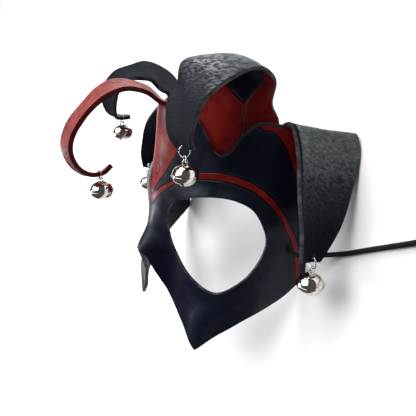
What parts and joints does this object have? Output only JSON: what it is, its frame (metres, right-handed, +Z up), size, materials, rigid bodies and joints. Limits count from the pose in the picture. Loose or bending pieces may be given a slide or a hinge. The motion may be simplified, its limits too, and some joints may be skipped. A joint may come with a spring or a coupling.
{
  "type": "leather jester mask",
  "caption": "Moulded half mask of black and red leather with five curled jester horns, a nickel jingle bell at each tip and a suede lace, lying on its back",
  "frame": {"origin": "Centre of the bottom of the mask's box, without the lace: on the surface that the loose mask lies on.", "axes": "+Z up, out of the face; +X to the wearer's left; +Y towards the top of the head."},
  "size_m": [0.3094, 0.1986, 0.1513],
  "materials": {
    "black_leather": "waxed black leather with navy sheen, red painted bands",
    "red_leather": "deep red dyed leather, black edges and flesh side",
    "nickel": "polished nickel plate",
    "black_suede": "black suede lace"
  },
  "bodies": {
    "root": {"mask_front": "black_leather", "inner_horn_left": "red_leather", "inner_horn_right": "red_leather", "bell_centre": "nickel", "bell_inner_left": "nickel", "bell_inner_right": "nickel", "bell_outer_left": "nickel", "bell_outer_right": "nickel", "tip_ring_centre": "nickel", "tip_ring_inner_left": "nickel", "tip_ring_inner_right": "nickel", "tip_ring_outer_left": "nickel", "tip_ring_outer_right": "nickel", "bell_link_inner_left": "nickel", "bell_link_outer_left": "nickel", "bell_link_outer_right": "nickel", "lace_run": "black_suede", "lace_coil": "black_suede"}
  },
  "joints": []
}
